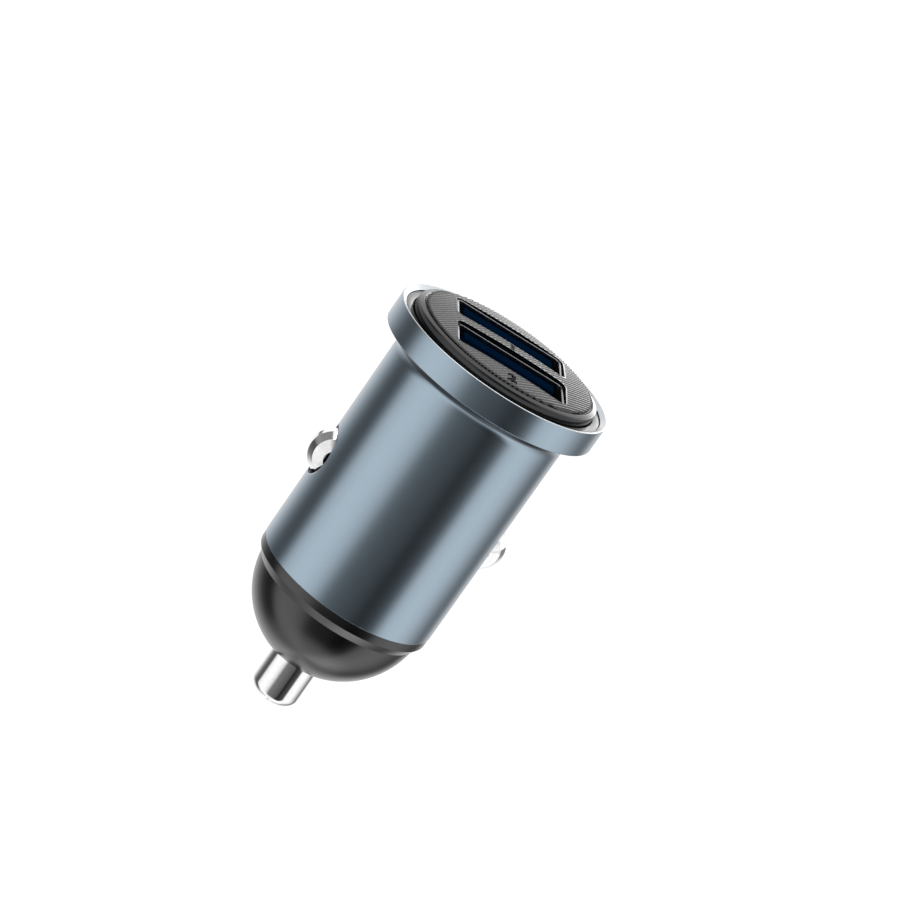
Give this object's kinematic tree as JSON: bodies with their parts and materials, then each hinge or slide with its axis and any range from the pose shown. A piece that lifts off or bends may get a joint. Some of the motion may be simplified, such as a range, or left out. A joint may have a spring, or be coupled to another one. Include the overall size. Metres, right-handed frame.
{
  "type": "car usb charger plug",
  "caption": "Compact flanged aluminium car charger plug with recessed USB ports in a ribbed black face, sprung side contacts, a domed nose and a sprung tip pin.",
  "frame": {"origin": "on the axis, in the plane of the flange's underside, where the plug stops against the socket's rim", "axes": "+Z along the axis, from the tip towards the face with the ports; X along the long sides of the ports and through both side contacts"},
  "size_m": [0.0252, 0.0252, 0.0474],
  "materials": {
    "anodised_aluminium": "satin anodised, blue grey",
    "light_guide_plastic": "translucent, lightly smoked",
    "face_plastic": "ribbed crown with a glossy edge",
    "port_steel": "tin-plated sheet",
    "port_insulator": "moulded, dark navy",
    "gold_contact": "gold-plated strip",
    "board_laminate": "green solder mask",
    "terminal_brass": "tinned brass",
    "ferrite": "pressed ferrite",
    "capacitor_can": "drawn can, printed stripe left off",
    "chip_epoxy": "moulded epoxy",
    "ceramic_body": "fired ceramic",
    "lamp_resin": "clear resin",
    "nose_plastic": "fine spark-eroded texture",
    "pin_plating": "bright nickel plate",
    "spring_steel": "drawn wire",
    "contact_plating": "bright nickel plate"
  },
  "bodies": {
    "housing": {"barrel": "anodised_aluminium", "light_ring": "light_guide_plastic", "face_plate": "face_plastic", "port_shell_1": "port_steel", "port_shell_2": "port_steel", "port_tongue_1": "port_insulator", "port_tongue_2": "port_insulator", "port_contacts_1": "gold_contact", "port_contacts_2": "gold_contact", "circuit_board": "board_laminate", "input_terminal": "terminal_brass", "ground_clip_left": "terminal_brass", "ground_clip_right": "terminal_brass", "inductor": "ferrite", "output_capacitor": "capacitor_can", "input_capacitor": "capacitor_can", "control_chip": "chip_epoxy", "rectifier_diode": "chip_epoxy", "input_fuse": "ceramic_body", "board_resistors": "chip_epoxy", "ceramic_capacitors": "ceramic_body", "indicator_lamps": "lamp_resin", "nose_cone": "nose_plastic", "tip_spring": "spring_steel", "contact_spring_left": "spring_steel", "contact_spring_right": "spring_steel"},
    "tip": {"tip_pin": "pin_plating"},
    "contact_left": {"side_contact_left": "contact_plating"},
    "contact_right": {"side_contact_right": "contact_plating"}
  },
  "joints": [
    {"name": "tip_slide", "type": "slide", "parent": "housing", "child": "tip", "axis": [0, 0, 1], "range_m": [0, 0.004], "stiffness_N_per_m": 600, "springref_m": -0.002, "deforming": ["tip_spring"]},
    {"name": "contact_left_slide", "type": "slide", "parent": "housing", "child": "contact_left", "axis": [1, 0, 0], "range_m": [0, 0.0014], "stiffness_N_per_m": 800, "springref_m": -0.0008, "deforming": ["contact_spring_left"]},
    {"name": "contact_right_slide", "type": "slide", "parent": "housing", "child": "contact_right", "axis": [-1, 0, 0], "range_m": [0, 0.0014], "stiffness_N_per_m": 800, "springref_m": -0.0008, "deforming": ["contact_spring_right"]}
  ]
}
